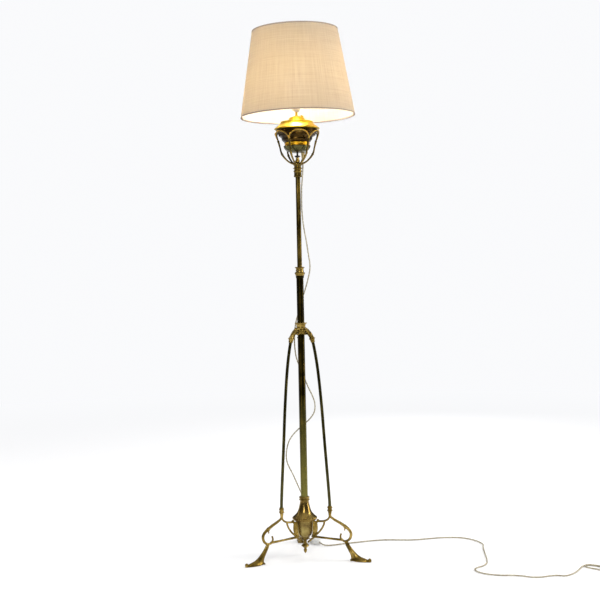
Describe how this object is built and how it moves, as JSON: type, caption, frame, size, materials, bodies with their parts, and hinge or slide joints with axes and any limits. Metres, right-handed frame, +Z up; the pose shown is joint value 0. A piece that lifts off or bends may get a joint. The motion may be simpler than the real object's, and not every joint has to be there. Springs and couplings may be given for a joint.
{
  "type": "tripod floor lamp",
  "caption": "Telescopic brass floor lamp on three bowed legs with scrolled feet, an urn at the base, an arcaded cage round the font and a tapered fabric shade on a hanging flex.",
  "frame": {"origin": "middle of the lamp's own box on the floor, 22.5 mm from the column's axis towards the rear foot", "axes": "+Z up along the column, +Y towards the rear foot, +X to the right seen from the front"},
  "size_m": [1.1307, 0.5642, 1.6163],
  "materials": {
    "aged_brass": "dark tarnished lacquer worn to brass on the edges",
    "gold_brass": "aged cast and spun brass, gold on the high parts, brown in the hollows",
    "black_metal": "blackened steel, satin",
    "cream_plastic": "cream moulded plastic, satin gloss",
    "steel_wire": "plated steel wire",
    "bulb_glass": "opal frosted glass, lit",
    "shade_linen": "plain woven oatmeal linen over a pale liner",
    "shade_tape": "taupe woven edge tape",
    "clear_flex": "clear gold twisted flex",
    "white_plastic": "white moulded plastic"
  },
  "bodies": {
    "root": {"outer_tube": "aged_brass", "clamp_body": "aged_brass", "leg_tube_rear": "aged_brass", "leg_tube_right": "aged_brass", "leg_tube_left": "aged_brass", "clamp_collet": "gold_brass", "spider": "gold_brass", "leg_casting_rear": "gold_brass", "leg_casting_right": "gold_brass", "leg_casting_left": "gold_brass", "urn_ring": "gold_brass", "urn_cover": "gold_brass", "urn_bowl": "gold_brass", "urn_cup": "gold_brass", "tube_plug": "gold_brass", "tie_rod": "gold_brass", "base_knob": "gold_brass", "base_acorn": "gold_brass", "plug_pin_earth": "gold_brass", "plug_pin_live": "gold_brass", "plug_pin_neutral": "gold_brass", "cord_lying": "clear_flex", "cord_tail": "clear_flex", "cord_hank": "clear_flex", "switch_body": "white_plastic", "hank_tie": "white_plastic", "plug_body": "white_plastic", "plug_relief": "white_plastic"},
    "head": {"inner_tube": "aged_brass", "slide_bush": "gold_brass", "head_socket": "gold_brass", "font_cage": "gold_brass", "stem_cone": "gold_brass", "stem_nut": "black_metal", "font_stem": "black_metal", "font_nut": "gold_brass", "font_bowl": "aged_brass", "font_band": "gold_brass", "font_body": "aged_brass", "gallery_ring": "aged_brass", "drip_plate": "gold_brass", "font_lid": "gold_brass", "holder_stem": "aged_brass", "holder_cap": "cream_plastic", "holder_core": "cream_plastic", "holder_barrel": "cream_plastic", "holder_ring_lower": "cream_plastic", "holder_ring_upper": "cream_plastic", "shade_carrier": "steel_wire", "strain_relief": "clear_flex", "cord_hanging": "clear_flex"},
    "clamp": {"clamp_nut": "aged_brass"},
    "filler": {"filler_cap": "gold_brass"},
    "shade": {"shade_fabric": "shade_linen", "shade_ring_top": "shade_tape", "shade_ring_bottom": "shade_tape", "shade_spider": "steel_wire"},
    "bulb": {"bulb_cap": "steel_wire", "bulb_glass": "bulb_glass"},
    "rocker": {"switch_rocker": "white_plastic"}
  },
  "joints": [
    {"name": "telescope", "type": "slide", "parent": "root", "child": "head", "axis": [0, 0, 1], "range_m": [-0.25, 0.24], "deforming": ["cord_hanging"]},
    {"name": "clamp_turn", "type": "hinge", "parent": "root", "child": "clamp", "pos_m": [0, -0.0225, 0.886], "axis": [0, 0, 1], "range_deg": [0, 180]},
    {"name": "filler_turn", "type": "hinge", "parent": "head", "child": "filler", "pos_m": [0.0148, -0.0311, 1.35], "axis": [0.4325, -0.251, 0.866], "range_deg": [0, 360]},
    {"name": "shade_turn", "type": "hinge", "parent": "head", "child": "shade", "pos_m": [0, -0.0225, 1.572], "axis": [-0.0175, 0, 0.9998], "continuous": true},
    {"name": "bulb_turn", "type": "hinge", "parent": "head", "child": "bulb", "pos_m": [0, -0.0225, 1.4], "axis": [0, 0, 1], "range_deg": [0, 20]},
    {"name": "rocker_press", "type": "hinge", "parent": "root", "child": "rocker", "pos_m": [0.044, 0.1195, 0.013], "axis": [0.8674, 0.4976, 0], "range_deg": [-16, 0]}
  ]
}
